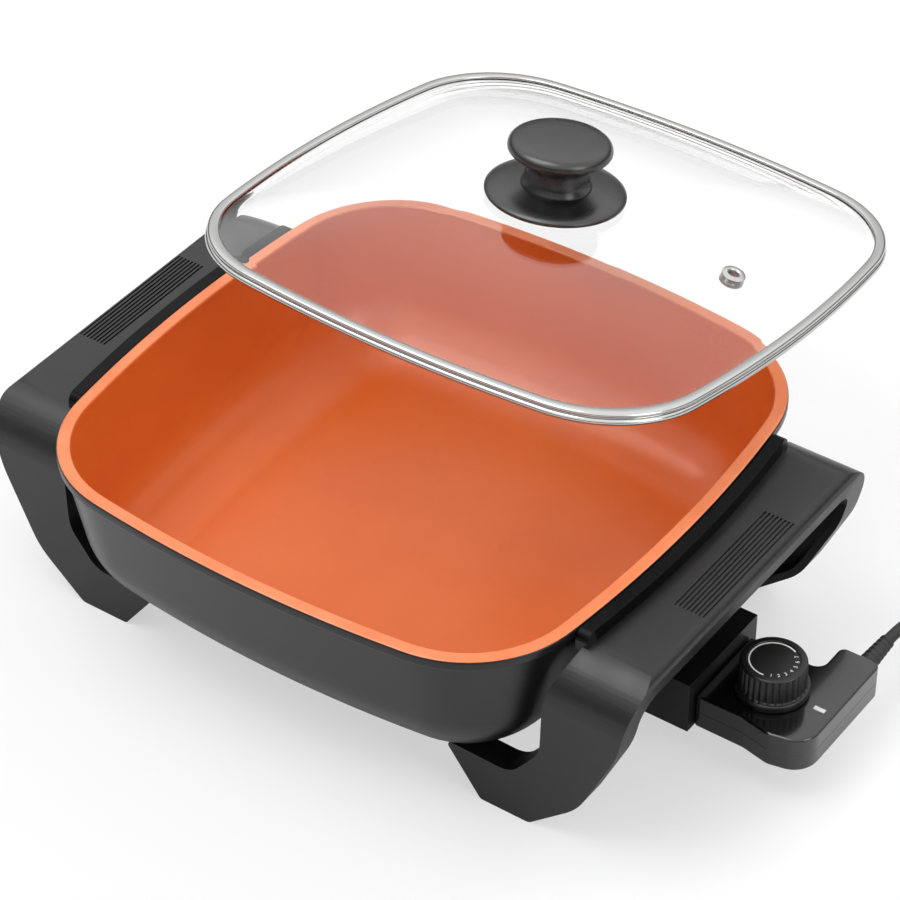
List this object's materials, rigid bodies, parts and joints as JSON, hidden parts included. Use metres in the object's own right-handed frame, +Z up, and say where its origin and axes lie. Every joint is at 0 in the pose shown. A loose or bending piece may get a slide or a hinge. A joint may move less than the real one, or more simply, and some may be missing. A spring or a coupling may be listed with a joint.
{
  "type": "electric skillet",
  "caption": "Square electric skillet with a cast nonstick pan, leg handles, loose glass lid and a plug-in heat controller on a mains cord.",
  "frame": {"origin": "on the table, under the middle of the pan", "axes": "+X to the handle with the heat controller, -Y to the front, +Z up"},
  "size_m": [0.4954, 0.4065, 0.2149],
  "materials": {
    "pan_cast": "satin charcoal outside, copper-coloured ceramic lining",
    "element_sheath": "dull",
    "pin_steel": "satin",
    "sensor_steel": "satin",
    "band_steel": "polished",
    "glass": "clear tempered",
    "gasket_rubber": "soft",
    "fastener_steel": "zinc plated",
    "brass": "machined",
    "spring_metal": "stamped",
    "ceramic": "fired ceramic",
    "lens": "clear milky",
    "lamp": "small glow lamp",
    "shaft_plastic": "moulded",
    "handle_plastic": "moulded phenolic, fine matt",
    "guard_plastic": "moulded phenolic",
    "knob_plastic": "satin phenolic",
    "shell_plastic": "semi-gloss",
    "dial_plastic": "satin with printed scale",
    "cord_rubber": "matt flexible PVC"
  },
  "bodies": {
    "skillet": {"pan": "pan_cast", "heating_element": "element_sheath", "terminal_pins": "pin_steel", "leg_screws": "fastener_steel", "guard_screws": "fastener_steel", "left_handle": "handle_plastic", "right_handle": "handle_plastic", "socket_guard": "guard_plastic"},
    "lid": {"lid_glass": "glass", "lid_band": "band_steel", "knob_gasket": "gasket_rubber", "knob_collar": "knob_plastic", "knob_grip": "knob_plastic", "knob_insert": "brass", "knob_washer": "fastener_steel", "knob_screw": "fastener_steel", "steam_vent": "band_steel"},
    "controller": {"controller_base": "shell_plastic", "controller_cover": "shell_plastic", "shell_screws": "fastener_steel", "contact_sleeves": "pin_steel", "sensor_rod": "sensor_steel", "thermostat_frame": "spring_metal", "insulator_stack": "ceramic", "contact_strips": "spring_metal", "bimetal_strip": "spring_metal", "contact_post": "spring_metal", "indicator_lens": "lens", "indicator_lamp": "lamp", "power_cord": "cord_rubber", "cord_coil": "cord_rubber", "strain_relief": "cord_rubber", "plug_body": "cord_rubber", "plug_blades": "brass"},
    "dial": {"dial_knob": "dial_plastic", "dial_shaft": "shaft_plastic"}
  },
  "joints": [
    {"name": "lid_lift", "type": "hinge", "parent": "skillet", "child": "lid", "pos_m": [0, 0.32105, -0.60248], "axis": [-1, 0, 0], "range_deg": [-8.4, 4]},
    {"name": "controller_pull", "type": "slide", "parent": "skillet", "child": "controller", "axis": [1, 0, 0], "range_m": [0, 0.115]},
    {"name": "dial_turn", "type": "hinge", "parent": "controller", "child": "dial", "pos_m": [0.2035, 0, 0.0403], "axis": [0, 0, -1], "range_deg": [0, 270]}
  ]
}
